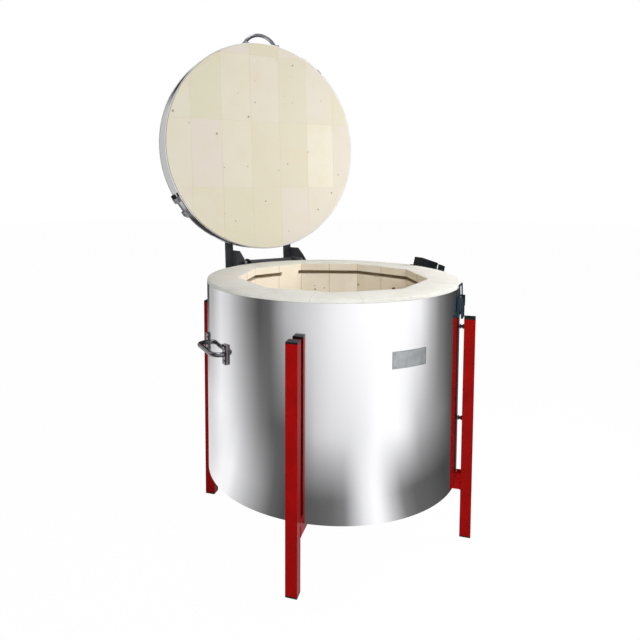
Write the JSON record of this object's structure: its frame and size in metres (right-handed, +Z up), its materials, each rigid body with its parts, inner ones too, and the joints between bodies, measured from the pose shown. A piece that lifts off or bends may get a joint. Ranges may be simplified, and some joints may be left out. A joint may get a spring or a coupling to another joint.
{
  "type": "electric kiln",
  "caption": "Round top-loading electric kiln on legs: brick chamber with wall elements, steel jacket, hinged brick lid standing open, draw latch and carrying handles.",
  "frame": {"origin": "on the floor below the middle of the chamber", "axes": "+Z up, -Y to the front where the lid handle is when shut, +Y to the hinge, +X to the socket"},
  "size_m": [0.879, 0.9072, 1.5075],
  "materials": {
    "red_paint": "satin powder coat",
    "stainless_sheet": "polished",
    "dark_steel": "satin",
    "bright_steel": "polished",
    "black_plastic": "moulded",
    "firebrick": "matt, porous",
    "fibre_board": "matt",
    "element_wire": "oxidised",
    "terminal_ceramic": "glazed",
    "brass_clamp": "plain",
    "sheath_ceramic": "matt",
    "pale_seal": "matt"
  },
  "bodies": {
    "kiln_body": {"leg_front_left": "red_paint", "leg_front_right": "red_paint", "leg_back_right": "red_paint", "leg_back_left": "red_paint", "cross_beam_long": "red_paint", "cross_beam_short": "red_paint", "leg_blocks": "red_paint", "leg_caps": "black_plastic", "foot_glides": "black_plastic", "cable_gland": "black_plastic", "thermocouple_head": "black_plastic", "control_socket": "black_plastic", "socket_cap": "black_plastic", "hinge_pin_caps": "black_plastic", "leg_bolts": "dark_steel", "cover_screws": "dark_steel", "socket_bracket": "dark_steel", "hinge_bracket": "dark_steel", "hinge_tube": "dark_steel", "base_plate": "stainless_sheet", "jacket": "stainless_sheet", "terminal_cover": "stainless_sheet", "wiring_duct": "stainless_sheet", "nameplate": "stainless_sheet", "insulation": "fibre_board", "floor_board": "fibre_board", "floor_bricks": "firebrick", "wall_bricks_lower": "firebrick", "wall_bricks_upper": "firebrick", "element_1": "element_wire", "element_2": "element_wire", "element_3": "element_wire", "element_4": "element_wire", "element_5": "element_wire", "element_6": "element_wire", "terminal_bars": "terminal_ceramic", "terminal_clamps": "brass_clamp", "thermocouple": "sheath_ceramic", "socket_ring": "pale_seal", "nameplate_rivets": "bright_steel", "hinge_pin": "bright_steel", "hinge_washers": "bright_steel", "hinge_bolts": "bright_steel", "side_handle_left": "bright_steel", "side_handle_right": "bright_steel", "side_handle_screws": "bright_steel", "latch_base": "bright_steel", "latch_pin": "bright_steel", "latch_rivets": "bright_steel"},
    "lid": {"lid_bricks": "firebrick", "lid_band": "stainless_sheet", "lid_cover": "stainless_sheet", "lid_band_clamp": "dark_steel", "lid_handle": "bright_steel", "lid_handle_screws": "bright_steel", "hinge_arms": "dark_steel", "arm_bolts": "bright_steel", "latch_keeper": "bright_steel"},
    "latch_lever": {"latch_lever": "bright_steel"},
    "latch_bail": {"latch_bail": "bright_steel"}
  },
  "joints": [
    {"name": "lid_hinge", "type": "hinge", "parent": "kiln_body", "child": "lid", "pos_m": [0, 0.41, 0.703], "axis": [1, 0, 0], "range_deg": [0, 93.5]},
    {"name": "latch_lever_pivot", "type": "hinge", "parent": "kiln_body", "child": "latch_lever", "pos_m": [0.23655, -0.2819, 0.662], "axis": [-0.766, -0.6428, 0], "range_deg": [0, 120]},
    {"name": "latch_bail_pivot", "type": "hinge", "parent": "latch_lever", "child": "latch_bail", "pos_m": [0.23526, -0.28037, 0.642], "axis": [-0.766, -0.6428, 0], "range_deg": [-120, 0]}
  ],
  "couplings": [
    {"joint": "latch_bail_pivot", "follows": "latch_lever_pivot", "ratio": -1}
  ]
}
